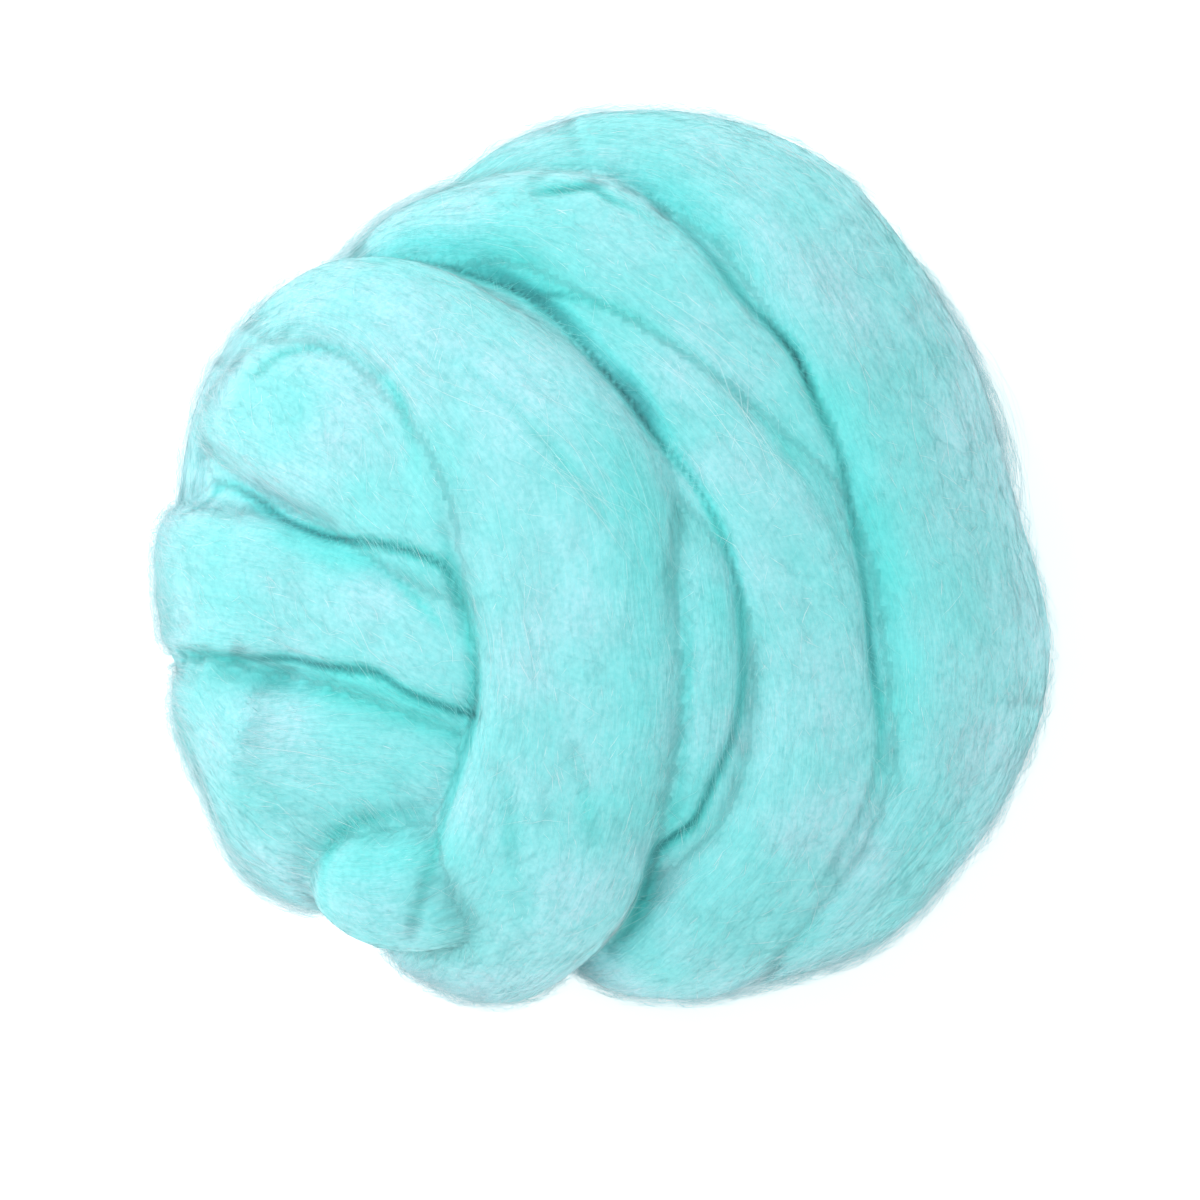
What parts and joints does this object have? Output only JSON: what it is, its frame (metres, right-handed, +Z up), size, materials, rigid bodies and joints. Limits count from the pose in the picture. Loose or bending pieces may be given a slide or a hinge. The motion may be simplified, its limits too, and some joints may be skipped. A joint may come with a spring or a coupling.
{
  "type": "ball of wool roving",
  "caption": "Combed wool roving wound by hand into a loose flattened ball, with broad soft turns, folded lobes at one side and a tucked-in end.",
  "frame": {"origin": "on the table under the middle of the ball, at the level of its flat spot", "axes": "+Z up, off the table; seen from above, +X points across the turns, away from the folded lobes, and +Y points away from the tucked-in end"},
  "size_m": [0.1496, 0.1484, 0.0999],
  "materials": {
    "wool": "matte combed wool with a soft sheen along its fibres"
  },
  "bodies": {
    "root": {"wound_roving": "wool"}
  },
  "joints": []
}
